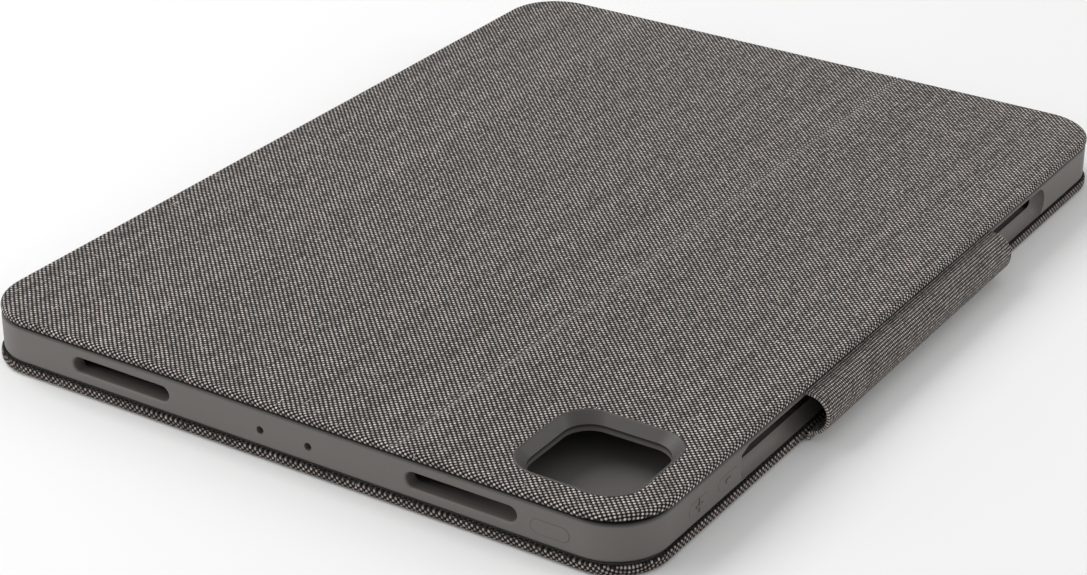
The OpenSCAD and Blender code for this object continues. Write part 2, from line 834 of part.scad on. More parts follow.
// One hinge leaf with its knuckles, drilled for the pin
module leaf(i, side, parts) {
  x0 = i * hinge_pitch - hinge_len / 2;
  y0 = crease_y + side * (knuckle_r + knuckle_space);
  y1 = crease_y + side * leaf_reach;
  leaf_top_z = leaf_low_z + leaf_t;
  difference() {
    union() {
      block([x0, min(y0, y1), leaf_low_z], [x0 + hinge_len, max(y0, y1), leaf_top_z]);
      for (part = parts) {
        x = knuckle_x(i, part);
        axis_bar(x, knuckle_len, knuckle_r);
        block([x, min(crease_y, y0), leaf_low_z], [x + knuckle_len, max(crease_y, y0) + EPS, leaf_top_z]);
      }
    }
    axis_bar(x0 - 1, hinge_len + 2, pin_r + pin_clearance);
  }
}

module fixed_leaves() {
  color(STEEL) for (i = [-1:1]) leaf(i, -1, [0, 2]);
}
module moving_leaves() {
  color(STEEL) for (i = [-1:1]) leaf(i, 1, [1]);
}
module hinge_pins() {
  color("silver") for (i = [-1:1]) axis_bar(knuckle_x(i, 0), hinge_len, pin_r);
}

// ---- latch ----

// The flap's turn round the stylus, in Y and Z, grown inwards by inset
module flap_turn(inset) {
  out_r = latch_out_r - inset;
  difference() {
    translate([stylus_y, stylus_z]) circle(out_r, $fn = ROUND_FN);
    translate([stylus_y, stylus_z]) circle(latch_in_r + inset, $fn = ROUND_FN);
    translate([stylus_y, stylus_z - 2 * out_r]) square([2 * out_r, 4 * out_r]);
  }
}

// The whole flap in Y and Z: root, turn, and the tab that hangs on the keyboard's edge
module flap_section() {
  flap_turn(0);
  translate([stylus_y - EPS, stylus_z + latch_in_r]) square([latch_root_y - stylus_y + EPS, latch_t]);
  translate([stylus_y - EPS, stylus_z - latch_out_r]) square([latch_tab_y - stylus_y + EPS, latch_t]);
  translate([latch_tab_y - latch_t, latch_tab_low_z])
    square([latch_t, stylus_z - latch_in_r - latch_tab_low_z]);
}

// A section drawn out along X, centred
module drawn(w) {
  translate([-w / 2, 0, 0]) rotate([90, 0, 90]) linear_extrude(w) children();
}

module tab_magnets(gap) {
  y = latch_tab_y - latch_t / 2;
  z = latch_tab_low_z + tab_magnet_h / 2 + 0.4;
  for (i = [-1:1])
    translate([i * tab_magnet_pitch, y, z])
      cube([tab_magnet_w + 2 * gap, magnet_t + 2 * gap, tab_magnet_h + 2 * gap], center = true);
}

module latch_cover() {
  color(CLOTH) difference() {
    drawn(latch_w) flap_section();
    latch_core_block(0.02);
    tab_magnets(0.02);
  }
}

// Thin springy sheet inside the outer turn of the flap
module latch_core_block(gap) {
  inset = (latch_t - latch_core_t) / 2 - gap;
  intersection() {
    drawn(latch_w - 2 * core_side + 2 * gap) flap_turn(inset);
    block([-latch_w, stylus_y - 2 * latch_out_r, stylus_z - latch_out_r / 2 - gap],
      [latch_w, stylus_y - core_root + gap, stylus_z + latch_out_r]);
  }
}

module latch_core() {
  color(DARK) latch_core_block(0);
}
module latch_magnets() {
  color(STEEL) tab_magnets(0);
}

// Root of the flap, glued into the tray under the back panel
module latch_anchor() {
  color(CLOTH) block([-latch_w / 2 + anchor_inset, -tray_d / 2, tray_top_z - anchor_t],
    [latch_w / 2 - anchor_inset, -tray_d / 2 + anchor_reach - 0.1, tray_top_z]);
}

base_cover();
base_plate();
key_circuit();
key_domes();
deck_cover();
controller_board();
keyboard_magnets();
pad_switch();
trackpad();
trackpad_frame();
function_keys();
number_keys();
upper_keys();
home_keys();
lower_keys();
bottom_keys();
backspace_key();
tab_key();
caps_key();
return_key();
left_shift_key();
right_shift_key();
space_bar();
spine_strip();
spine_cable();
spine_tab();
tray_shell();
screen_lip();
tray_back();
panel_core();
back_cover();
camera_bezel();
tray_magnets();
connector_block();
contact_pin_1();
contact_pin_2();
contact_pin_3();
fixed_leaves();
latch_anchor();
power_button();
volume_up_button();
volume_down_button();
kickstand_plate();
kickstand_cover();
moving_leaves();
hinge_pins();
kickstand_magnets();
latch_cover();
latch_core();
latch_magnets();
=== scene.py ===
# %% [markdown]
# # A closed tablet keyboard case
#
# The real case is a soft moulded tray between two stiff panels wrapped in woven cloth. A flap of
# the same cloth comes out from under the back, goes round a stylus and holds the case shut. This
# script loads the measured frame, then makes each piece that shows, then its finish.

# %% Load the frame
import bpy
import bmesh
import json
import math
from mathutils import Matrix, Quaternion, Vector

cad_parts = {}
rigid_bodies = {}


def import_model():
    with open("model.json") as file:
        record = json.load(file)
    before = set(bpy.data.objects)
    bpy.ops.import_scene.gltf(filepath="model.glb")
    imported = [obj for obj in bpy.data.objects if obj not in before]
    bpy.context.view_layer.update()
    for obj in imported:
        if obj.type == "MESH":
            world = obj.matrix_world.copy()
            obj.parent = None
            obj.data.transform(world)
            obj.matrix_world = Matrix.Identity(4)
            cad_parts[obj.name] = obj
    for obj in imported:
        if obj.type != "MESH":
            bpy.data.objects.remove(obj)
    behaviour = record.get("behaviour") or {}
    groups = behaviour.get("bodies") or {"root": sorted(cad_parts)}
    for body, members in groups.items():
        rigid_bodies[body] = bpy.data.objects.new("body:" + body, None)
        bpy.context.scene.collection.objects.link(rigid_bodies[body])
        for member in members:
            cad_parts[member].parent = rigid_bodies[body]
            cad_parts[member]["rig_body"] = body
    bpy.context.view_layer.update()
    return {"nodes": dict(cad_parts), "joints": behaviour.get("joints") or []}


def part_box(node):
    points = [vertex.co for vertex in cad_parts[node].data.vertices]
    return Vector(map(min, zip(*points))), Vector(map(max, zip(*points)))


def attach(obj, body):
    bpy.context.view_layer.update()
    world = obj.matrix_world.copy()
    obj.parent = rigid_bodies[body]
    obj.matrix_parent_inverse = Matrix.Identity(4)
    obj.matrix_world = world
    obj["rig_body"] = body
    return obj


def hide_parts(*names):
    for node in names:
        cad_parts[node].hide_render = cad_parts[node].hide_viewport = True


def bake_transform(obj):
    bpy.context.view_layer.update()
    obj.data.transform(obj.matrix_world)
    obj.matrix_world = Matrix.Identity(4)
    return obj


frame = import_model()
scene = bpy.context.scene

# %% [markdown]
# ## Camera
#
# A case lying on a table is seen from one corner, with a long lens that flattens it a little. The
# camera comes first, so that every later piece can be judged at once. The floor and the lamps come
# last.

# %% Camera
CAMERA_AT = Vector((-0.54238, -0.33752, 0.31724))
CAMERA_LOOKS_AT = Vector((-0.02913, -0.01122, 0.008))

lens = bpy.data.cameras.new("camera")
lens.lens = 88.67
lens.sensor_width = 36.0
lens.shift_x = -0.0112
lens.shift_y = -0.0016
lens.clip_start = 0.01
camera = bpy.data.objects.new("camera", lens)
scene.collection.objects.link(camera)
turn = (CAMERA_LOOKS_AT - CAMERA_AT).to_track_quat("-Z", "Y")
camera.rotation_mode = "QUATERNION"
camera.rotation_quaternion = turn @ Quaternion((0, 0, 1), math.radians(0.326))
camera.location = CAMERA_AT
scene.camera = camera
print("camera distance:", round((CAMERA_LOOKS_AT - CAMERA_AT).length, 3), "m")

# %% [markdown]
# ## Working by hand, in code
#
# Every operator acts on what is selected. So three small helpers are used all the way through:
# one puts everything down, one picks up a single piece, and one selects vertices, edges or faces
# by a test on their place.

# %% Helpers for selecting
def put_down():
    """Leaves edit mode and selects nothing."""
    if bpy.context.object and bpy.context.object.mode != "OBJECT":
        bpy.ops.object.mode_set(mode="OBJECT")
    bpy.ops.object.select_all(action="DESELECT")


def pick_up(piece, mode="OBJECT"):
    """Selects one piece only, and enters a mode on it."""
    put_down()
    piece.select_set(True)
    bpy.context.view_layer.objects.active = piece
    if mode != "OBJECT":
        bpy.ops.object.mode_set(mode=mode)


def pick(kind, test):
    """In edit mode, selects just the vertices, edges or faces that pass the test."""
    bpy.ops.mesh.select_mode(type=kind)
    bpy.ops.mesh.select_all(action="DESELECT")
    mesh = bpy.context.object.data
    shape = bmesh.from_edit_mesh(mesh)
    parts = {"VERT": shape.verts, "EDGE": shape.edges, "FACE": shape.faces}[kind]
    chosen = [part for part in parts if test(part)]
    for part in chosen:
        part.select_set(True)
    shape.select_flush_mode()
    bmesh.update_edit_mesh(mesh)
    return len(chosen)


def near(a, b, within=1e-5):
    return abs(a - b) < within


def edge_at(z):
    """A test: the edge lies level, at this height."""
    return lambda e: near(e.verts[0].co.z, z) and near(e.verts[1].co.z, z)


def rim_at(z):
    """A test: the edge lies level at this height, on an upright side."""
    level = edge_at(z)
    return lambda e: level(e) and any(abs(f.normal.z) < 0.1 for f in e.link_faces)

# %% [markdown]
# A plate with round corners is the start of nearly every piece here. It is a cube, scaled, whose
# four upright edges are bevelled. Modifiers finish a piece, and are applied as soon as they are
# added, so that each piece ends as a plain mesh at the origin.

# %% Helpers for shaping
def plate(name, low, high, corner, steps=12):
    """A round-cornered plate between two corners, left in edit mode."""
    put_down()
    middle = [(a + b) / 2 for a, b in zip(low, high)]
    bpy.ops.mesh.primitive_cube_add(size=1, location=middle)
    piece = bpy.context.object
    piece.name = name
    piece.data.name = name
    piece.scale = [b - a for a, b in zip(low, high)]
    bpy.ops.object.transform_apply(location=True, rotation=False, scale=True)
    bpy.ops.object.mode_set(mode="EDIT")
    pick("EDGE", lambda e: abs(e.verts[0].co.z - e.verts[1].co.z) > 1e-5)
    bpy.ops.mesh.bevel(offset=corner, segments=steps, affect="EDGES", clamp_overlap=False)
    return piece


def bevel_picked(width, steps):
    bpy.ops.mesh.bevel(offset=width, segments=steps, affect="EDGES", clamp_overlap=False)


def finish_with(piece, kind, **settings):
    """Adds one modifier, sets it and applies it."""
    pick_up(piece)
    modifier = piece.modifiers.new(kind.lower(), kind)
    for name, value in settings.items():
        setattr(modifier, name, value)
    bpy.ops.object.modifier_apply(modifier=modifier.name)


def cut(piece, cutter):
    """Takes the cutter's shape out of the piece, and throws the cutter away."""
    finish_with(piece, "BOOLEAN", operation="DIFFERENCE", solver="EXACT", object=cutter)
    bpy.data.objects.remove(cutter)


def smooth(piece, degrees=35):
    """Smooth shading that keeps flat faces flat."""
    pick_up(piece)
    bpy.ops.object.shade_smooth_by_angle(angle=math.radians(degrees))
    finish_with(piece, "WEIGHTED_NORMAL", weight=90, keep_sharp=True)


def settle(piece, body, material_slot, *nodes):
    """The piece takes the place of its measured nodes and moves with a body."""
    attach(piece, body)
    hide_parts(*nodes)
    print(piece.name, "rides on", body, "with", len(piece.data.polygons), "faces")

# %% [markdown]
# ## Sizes that several pieces share
#
# The frame gives the places. The back, the base and the tray are read from their nodes, so each
# new piece sits exactly where the measured one did.

# %% Shared sizes
back_low, back_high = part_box("back_cover")
stand_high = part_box("kickstand_cover")[1]
base_low, base_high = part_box("base_cover")
tray_low, tray_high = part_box("screen_lip")[0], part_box("tray_shell")[1]
rim_low, rim_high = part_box("camera_bezel")
PANEL_LOW = Vector((back_low.x, back_low.y, back_low.z))
PANEL_HIGH = Vector((back_high.x, stand_high.y, back_high.z))
PANEL_CORNER = 0.016
hinge = next(joint for joint in frame["joints"] if joint["name"] == "kickstand_hinge")
CREASE_Y, HINGE_Z = hinge["pos_m"][1:]
CLOTH = 0.00055
camera_middle = (rim_low + rim_high) / 2
print("panel:", [round(v * 1000, 2) for v in PANEL_HIGH - PANEL_LOW], "mm")

# %% [markdown]
# ## Laying the weave on a panel
#
# Cloth glued over a panel lies flat on its face, then turns down over the edge. A flat projection
# would smear the yarns on that edge. So the map of each piece is drawn by hand: a point on the
# edge keeps its direction from the panel's middle part, and moves outwards by as much as the cloth
# has run down. The map is in metres, so that one weave fits every piece.

# %% Cloth map for panels
def lay_cloth(piece, low, high, corner, face_z):
    """A map in metres: flat on the face at face_z, and running on down the edge."""
    layer = piece.data.uv_layers.get("cloth") or piece.data.uv_layers.new(name="cloth")
    cx, cy = (low.x + high.x) / 2, (low.y + high.y) / 2
    ix, iy = (high.x - low.x) / 2 - corner, (high.y - low.y) / 2 - corner
    for loop in piece.data.loops:
        p = piece.data.vertices[loop.vertex_index].co
        x, y = p.x - cx, p.y - cy
        qx, qy = max(-ix, min(ix, x)), max(-iy, min(iy, y))
        away = math.hypot(x - qx, y - qy)
        drop = abs(face_z - p.z)
        reach = 1 + drop / away if away > corner - 0.0016 else 1
        layer.data[loop.index].uv = (qx + (x - qx) * reach, qy + (y - qy) * reach)

# %% [markdown]
# ## The woven back
#
# One sheet of cloth covers the fixed part over the camera and the kickstand, and the crease
# between them is where it bends. It starts as the panel's outline. The underside is opened inside
# a hem, the rim is rounded, and the crease is cut in as a shallow valley with several lines side by
# side. Solidify then gives the cloth its thickness inwards, round the stiff core.

# %% Woven back: outline, hem and rim
BACK_HEM, BACK_ROUND, BACK_LOW_ROUND = 0.00112, 0.00095, 0.0008
FACE_BORDER = 0.0004
woven_back = plate("woven_back", PANEL_LOW, PANEL_HIGH, PANEL_CORNER, 16)
pick("FACE", lambda f: f.normal.z < -0.9)
bpy.ops.mesh.inset(thickness=BACK_HEM)
bpy.ops.mesh.delete(type="FACE")
pick("EDGE", rim_at(PANEL_HIGH.z))
bevel_picked(BACK_ROUND, 5)
pick("EDGE", rim_at(PANEL_LOW.z))
bevel_picked(BACK_LOW_ROUND, 4)
pick("FACE", lambda f: f.normal.z > 0.99 and f.calc_area() > 0.01)
bpy.ops.mesh.inset(thickness=FACE_BORDER)

# %% [markdown]
# The crease is a valley with sloping sides. Each entry is a distance from the fold line, and how
# deep the cloth lies there, both in millimetres.

# %% Woven back: crease
CREASE = {-1.7: 0.0, -1.2: 0.02, -0.8: 0.10, -0.4: 0.26, -0.12: 0.36, 0.12: 0.36,
          0.4: 0.26, 0.8: 0.10, 1.2: 0.02, 1.7: 0.0}
for offset in CREASE:
    bpy.ops.mesh.select_all(action="SELECT")
    bpy.ops.mesh.bisect(plane_co=(0, CREASE_Y + offset / 1000, 0), plane_no=(0, 1, 0))
for offset, depth in CREASE.items():
    line = CREASE_Y + offset / 1000
    pick("VERT", lambda v: near(v.co.y, line) and v.co.z > PANEL_HIGH.z - 0.00002)
    bpy.ops.transform.translate(value=(0, 0, -depth / 1000))
put_down()
lay_cloth(woven_back, PANEL_LOW, PANEL_HIGH, PANEL_CORNER, PANEL_HIGH.z)
finish_with(woven_back, "SOLIDIFY", thickness=CLOTH, offset=-1, use_even_offset=True)

# %% [markdown]
# The camera opening is cut through the cloth, a hair larger than the rim that fills it.

# %% Woven back: opening for the camera
RIM_CORNER, RIM_GAP, CUT_PAST = 0.0086, 0.00002, 0.002
hole_low = Vector((rim_low.x - RIM_GAP, rim_low.y - RIM_GAP, PANEL_LOW.z - CUT_PAST))
hole_high = Vector((rim_high.x + RIM_GAP, rim_high.y + RIM_GAP, PANEL_HIGH.z + CUT_PAST))
cut(woven_back, plate("hole", hole_low, hole_high, RIM_CORNER, 10))
smooth(woven_back)
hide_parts("back_cover", "kickstand_cover")
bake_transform(woven_back)
print("woven back:", len(woven_back.data.polygons), "faces")

# %% [markdown]
# ## The woven base
#
# The keyboard's cover is a shallow cloth dish with its stiff plate inside. Seen from outside it
# stands slightly proud under the tray, with a well rounded lower edge and a soft upper lip.

# %% Woven base
BASE_CORNER, BASE_EDGE = 0.014, 0.00125
BASE_LIP_ROUND, BASE_ROUND = 0.0005, 0.0013
woven_base = plate("woven_base", base_low, base_high, BASE_CORNER, 14)
pick("FACE", lambda f: f.normal.z > 0.9)
bpy.ops.mesh.inset(thickness=BASE_EDGE)
bpy.ops.mesh.extrude_region_move(TRANSFORM_OT_translate={"value": (0, 0, CLOTH - base_high.z)})
pick("EDGE", lambda e: rim_at(base_high.z)(e) and
     any(f.normal.z > 0.9 for f in e.link_faces))
bevel_picked(BASE_LIP_ROUND, 4)
pick("EDGE", rim_at(base_low.z))
bevel_picked(BASE_ROUND, 5)
pick("FACE", lambda f: f.normal.z < -0.99 and f.calc_area() > 0.01)
bpy.ops.mesh.inset(thickness=FACE_BORDER)
put_down()
lay_cloth(woven_base, base_low, base_high, BASE_CORNER, base_low.z)
smooth(woven_base)
settle(woven_base, "keyboard", "woven_cloth", "base_cover")

# %% [markdown]
# ## Strips of cloth
#
# The flap and the spine are strips: one section, the same all along the case. A strip is drawn as
# a line of cloth that is extruded from point to point, and spun where it turns round something.
# Its map runs along X and along the path, so the yarns follow the turn. Solidify and a bevel then
# give it its thickness and soft hems.

# %% Helper for strips
def start_strip(name, half_width, y, z):
    """A single line of cloth along X, left in edit mode."""
    put_down()
    bpy.ops.mesh.primitive_plane_add(size=1, location=(0, y, z))
    strip = bpy.context.object
    strip.name = name
    strip.data.name = name
    strip.scale = (2 * half_width, 1, 1)
    bpy.ops.object.transform_apply(location=True, rotation=False, scale=True)
    bpy.ops.object.mode_set(mode="EDIT")
    pick("VERT", lambda v: v.co.y < y)
    bpy.ops.mesh.delete(type="VERT")
    pick("VERT", lambda v: True)
    bpy.ops.transform.translate(value=(0, -0.5, 0))
    return strip


def draw_on(points):
    """Extrudes the last line of the strip through these (y, z) points."""
    for y, z in points:
        shape = bmesh.from_edit_mesh(bpy.context.object.data)
        here = [v.co.copy() for v in shape.verts if v.select]
        step = (0, y - here[0].y, z - here[0].z)
        bpy.ops.mesh.extrude_region_move(TRANSFORM_OT_translate={"value": step})


def turn_round(y, z, degrees, steps):
    """Spins the last line of the strip about an axis along X."""
    bpy.ops.mesh.spin(steps=steps, angle=math.radians(degrees), center=(0, y, z), axis=(-1, 0, 0))


def lay_along(strip, y, z):
    """A map in metres: X across, and the path's own length along it, from its first line."""
    left = {(round(v.co.y, 6), round(v.co.z, 6)) for v in strip.data.vertices}
    here = min(left, key=lambda p: math.dist(p, (y, z)))
    run, total = {here: 0.0}, 0.0
    left.discard(here)
    while left:
        after = min(left, key=lambda p: math.dist(p, here))
        total += math.dist(after, here)
        run[after] = total
        left.discard(after)
        here = after
    layer = strip.data.uv_layers.new(name="cloth")
    for loop in strip.data.loops:
        p = strip.data.vertices[loop.vertex_index].co
        layer.data[loop.index].uv = (p.x, run[(round(p.y, 6), round(p.z, 6))])
    return total

# %% [markdown]
# ## The flap
#
# The flap holds the stylus against the latch edge and closes the case. Its root is glued in
# under the back panel. From there it turns over the stylus, comes in below it and hangs down on to
# the base's edge, where its magnets grip. It is drawn from the root, so the map runs that way too.

# %% Flap
flap_low, flap_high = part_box("latch_cover")
STYLUS_Y, STYLUS_Z, FLAP_R = -0.0957, 0.0075, 0.005025
FLAP_ROOT, TAB_Y = (-0.0888, 0.01277), -0.095875
FLAP_THICK, FLAP_HEM = 0.00096, 0.0003
flap_half = (flap_high.x - flap_low.x) / 2
woven_flap = start_strip("woven_flap", flap_half, *FLAP_ROOT)
draw_on([(-0.0915, 0.01277), (-0.0938, 0.01274), (-0.0946, 0.01269), (-0.0952, 0.01261)])
draw_on([(STYLUS_Y, STYLUS_Z + FLAP_R)])
turn_round(STYLUS_Y, STYLUS_Z, 169, 22)
draw_on([(-0.09621, 0.00237), (-0.09601, 0.00213), (-0.0959, 0.00178), (TAB_Y, 0.0011)])
draw_on([(TAB_Y, flap_low.z + 0.00002)])
put_down()
flap_length = lay_along(woven_flap, *FLAP_ROOT)
finish_with(woven_flap, "SOLIDIFY", thickness=FLAP_THICK, offset=0, use_even_offset=True)
finish_with(woven_flap, "BEVEL", width=FLAP_HEM, segments=3, limit_method="ANGLE",
            angle_limit=math.radians(60), use_clamp_overlap=False)
smooth(woven_flap)
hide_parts("latch_cover", "latch_anchor")
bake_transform(woven_flap)
print("flap:", round(flap_length * 1000, 1), "mm long")

# %% [markdown]
# ## The spine
#
# The spine folds twice: once at the base's bottom edge and once at the tray. A piece of cloth can
# bend across one joint at a time, so the spine is two strips that meet edge to edge between folds.

# %% Spine
spine_low, spine_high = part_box("spine_strip")
spine_half = (spine_high.x - spine_low.x) / 2
spine_y = (spine_low.y + spine_high.y) / 2
SPINE_ROOT, SPINE_MEET_Z = (0.0868, 0.00044), 0.0023
SPINE_THICK, SPINE_HEM = 0.0008, 0.00022


def finish_spine(strip, y, z):
    """Thickness, soft hems and shading for one half of the spine."""
    length = lay_along(strip, y, z)
    finish_with(strip, "SOLIDIFY", thickness=SPINE_THICK, offset=0, use_even_offset=True)
    finish_with(strip, "BEVEL", width=SPINE_HEM, segments=2, limit_method="ANGLE",
                angle_limit=math.radians(60), use_clamp_overlap=False)
    smooth(strip)
    return length


lower_spine = start_strip("lower_spine", spine_half, *SPINE_ROOT)
draw_on([(0.0948, 0.00044), (0.0953, 0.00052), (0.0956, 0.00074), (spine_y - 0.00006, 0.00108)])
draw_on([(spine_y, 0.0014), (spine_y, 0.0018), (spine_y, SPINE_MEET_Z - 0.00005)])
put_down()
lower_length = finish_spine(lower_spine, *SPINE_ROOT)
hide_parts("spine_strip")
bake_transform(lower_spine)

upper_spine = start_strip("upper_spine", spine_half, spine_y, SPINE_MEET_Z + 0.00005)
draw_on([(spine_y, 0.0045), (spine_y, 0.0068), (spine_y, 0.0077), (spine_y, 0.0083)])
draw_on([(spine_y - 0.00005, 0.0089), (0.0956, 0.00936), (0.0953, 0.00975)])
draw_on([(0.0950, 0.0102), (0.09485, 0.0108), (0.09482, 0.0124)])
put_down()
upper_length = finish_spine(upper_spine, spine_y, SPINE_MEET_Z)
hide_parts("spine_tab")
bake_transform(upper_spine)
print("spine:", round((lower_length + upper_length) * 1000, 1), "mm of cloth")

# %% [markdown]
# ## The soft tray
#
# The tray is one moulding in a soft plastic. Its long edges are softly rounded, and each opening
# has a small rounded lip, which is what catches the light on the real thing. So the outside is
# rounded first, then the openings are cut, then only the outlines of the openings are bevelled.

# %% Soft tray: the moulding
SLOT_Z, BUTTON_Z = 0.0080, 0.0074
TRAY_CORNER, TRAY_TOP_ROUND, TRAY_LOW_ROUND = 0.014, 0.0009, 0.0008
soft_tray = plate("soft_tray", tray_low, tray_high, TRAY_CORNER, 14)
pick("EDGE", rim_at(tray_high.z))
bevel_picked(TRAY_TOP_ROUND, 5)
pick("EDGE", rim_at(tray_low.z))
bevel_picked(TRAY_LOW_ROUND, 4)
put_down()


def pill(low, high, along):
    """A bar whose ends are round, seen along one axis: 0 for X, 1 for Y."""
    put_down()
    bpy.ops.mesh.primitive_cube_add(size=1, location=[(a + b) / 2 for a, b in zip(low, high)])
    piece = bpy.context.object
    piece.scale = [b - a for a, b in zip(low, high)]
    bpy.ops.object.transform_apply(location=True, rotation=False, scale=True)
    bpy.ops.object.mode_set(mode="EDIT")
    pick("EDGE", lambda e: abs(e.verts[0].co[along] - e.verts[1].co[along]) > 1e-5)
    bevel_picked(min(high[2] - low[2], high[1 - along] - low[1 - along]) / 2 * 0.999, 8)
    bpy.ops.mesh.select_all(action="SELECT")
    bpy.ops.mesh.remove_doubles(threshold=0.00001)
    put_down()
    return piece


def rod(radius, x0, x1, y, z, sides=48):
    """A round bar along X."""
    put_down()
    bpy.ops.mesh.primitive_cylinder_add(vertices=sides, radius=radius, depth=x1 - x0,
                                        location=((x0 + x1) / 2, y, z), rotation=(0, math.pi / 2, 0))
    return bpy.context.object


def disc(radius, x, y, z0, z1, sides=40):
    """A round bar along Z."""
    put_down()
    bpy.ops.mesh.primitive_cylinder_add(vertices=sides, radius=radius, depth=z1 - z0,
                                        location=(x, y, (z0 + z1) / 2))
    return bpy.context.object

# %% [markdown]
# Each room is a box between two corners: the tablet's bay, the opening for its screen, the opening
# for its camera, the connector's pocket and the pocket for the flap's root. Four round pockets hold
# the magnets.

# %% Soft tray: the bay, the screen opening and the pockets
BAY = (-0.1239, -0.09135, 0.0054), (0.1239, 0.08735, 0.0114)
SCREEN = (-0.1219, -0.08935, 0.0028), (0.1219, 0.08535, 0.0056)
LENS = (-0.1182, -0.08465, 0.011), (-0.0908, -0.05725, 0.014)
CONNECTOR = (-0.0102, 0.0767, 0.0109), (0.0102, 0.0820, 0.01262)
ROOT = (-0.0515, -0.0960, 0.0122), (0.0515, -0.0886, 0.0140)
MAGNET_R, MAGNET_Y, MAGNET_FROM, MAGNET_TO = 0.0041, 0.079, 0.01218, 0.014
cut(soft_tray, plate("bay", *BAY, 0.01095, 10))
cut(soft_tray, plate("screen", *SCREEN, 0.00895, 10))
cut(soft_tray, plate("lens", *LENS, 0.007, 8))
cut(soft_tray, pill(*CONNECTOR, 1))
cut(soft_tray, plate("root", *ROOT, 0.0001, 1))
for magnet_x in (-0.09, -0.03, 0.03, 0.09):
    cut(soft_tray, disc(MAGNET_R, magnet_x, MAGNET_Y, MAGNET_FROM, MAGNET_TO))

# %% [markdown]
# The groove is where a stylus lies: a round bar taken out of the latch edge, with a ball at its round
# end and a short cone at its tip.

# %% Soft tray: the stylus groove
GROOVE_R, GROOVE_FROM, GROOVE_TO = 0.0046, -0.078, 0.084
TIP_X, TIP_LENGTH, TIP_TAPER = -0.0797, 0.0036, 0.0012
cut(soft_tray, rod(GROOVE_R, GROOVE_FROM, GROOVE_TO, STYLUS_Y, STYLUS_Z, 64))
put_down()
bpy.ops.mesh.primitive_uv_sphere_add(segments=48, ring_count=24, radius=GROOVE_R - 0.00001,
                                     location=(GROOVE_TO, STYLUS_Y, STYLUS_Z),
                                     rotation=(0, math.pi / 2, 0))
cut(soft_tray, bpy.context.object)
put_down()
bpy.ops.mesh.primitive_cone_add(vertices=64, radius1=GROOVE_R - TIP_TAPER, radius2=GROOVE_R,
                                depth=TIP_LENGTH, location=(TIP_X, STYLUS_Y, STYLUS_Z),
                                rotation=(0, math.pi / 2, 0))
cut(soft_tray, bpy.context.object)

# %% [markdown]
# Each end wall has two speaker slots. One end has the charging opening between them, the other two
# microphone holes and the power button. The volume buttons are in the latch edge. Only after all the
# cuts are the outlines rounded: the long slots most, the small openings just a little.

# %% Soft tray: the openings in its walls
WALL_X = tray_high.x
WALL_IN, WALL_OUT = 0.1229, 0.1290
FRONT_OUT, FRONT_IN = -0.0960, -0.0905
SLOT_Y, SLOT_HALF, SLOT_HALF_TALL = 0.049, 0.0148, 0.0020
CHARGE_HALF, CHARGE_HALF_TALL = 0.0063, 0.0025
MIC_Y, MIC_R = 0.0069, 0.001
POWER_Y, POWER_HALF = -0.0725, 0.00504
VOLUME_X, VOLUME_HALF = (-0.1005, -0.0875), 0.00452
BUTTON_HALF = 0.00182
for side in (-1, 1):
    x0, x1 = sorted((side * WALL_IN, side * WALL_OUT))
    for y in (-SLOT_Y, SLOT_Y):
        cut(soft_tray, pill((x0, y - SLOT_HALF, SLOT_Z - SLOT_HALF_TALL),
                            (x1, y + SLOT_HALF, SLOT_Z + SLOT_HALF_TALL), 0))
cut(soft_tray, pill((WALL_IN, -CHARGE_HALF, SLOT_Z - CHARGE_HALF_TALL),
                    (WALL_OUT, CHARGE_HALF, SLOT_Z + CHARGE_HALF_TALL), 0))
for y in (-MIC_Y, MIC_Y):
    cut(soft_tray, rod(MIC_R, -WALL_OUT, -WALL_IN, y, BUTTON_Z, 28))
cut(soft_tray, pill((-WALL_OUT, POWER_Y - POWER_HALF, BUTTON_Z - BUTTON_HALF),
                    (-WALL_IN, POWER_Y + POWER_HALF, BUTTON_Z + BUTTON_HALF), 0))
for x in VOLUME_X:
    cut(soft_tray, pill((x - VOLUME_HALF, FRONT_OUT, BUTTON_Z - BUTTON_HALF),
                        (x + VOLUME_HALF, FRONT_IN, BUTTON_Z + BUTTON_HALF), 1))

FLAT_WITHIN = 0.1124
MIDDLE_WITHIN, SLOTS_WITHIN, POWER_WITHIN = 0.009, 0.0660, 0.0798
VOLUME_WITHIN = -0.0815


def outline_on(axis, reach):
    """A test: the edge is the outline of an opening in a flat wall across this axis."""
    def test(e):
        on_wall = all(near(abs(v.co[axis]), reach) for v in e.verts)
        inside = all(tray_low.z + TRAY_LOW_ROUND + 0.0001 < v.co.z < tray_high.z - TRAY_TOP_ROUND - 0.00005
                     for v in e.verts)
        sides = sum(abs(f.normal[axis]) > 0.99 for f in e.link_faces)
        return on_wall and inside and sides == 1 and abs(e.verts[0].co[1 - axis]) < FLAT_WITHIN
    return test


pick_up(soft_tray, "EDIT")
long_openings = pick("EDGE", lambda e: outline_on(0, WALL_X)(e) and
                     MIDDLE_WITHIN < abs(e.verts[0].co.y) < SLOTS_WITHIN)
bevel_picked(0.0006, 3)
small_openings = pick("EDGE", lambda e: outline_on(0, WALL_X)(e) and
                      not MIDDLE_WITHIN < abs(e.verts[0].co.y) < SLOTS_WITHIN and
                      abs(e.verts[0].co.y) < POWER_WITHIN)
bevel_picked(0.0001, 2)
pick("EDGE", lambda e: outline_on(1, -tray_low.y)(e) and e.verts[0].co.y < 0 and
     e.verts[0].co.x < VOLUME_WITHIN)
bevel_picked(0.00003, 1)
put_down()
smooth(soft_tray, 30)
settle(soft_tray, "tray", "soft_shell", "tray_shell", "screen_lip", "tray_back")
print("outlines rounded:", long_openings, small_openings)

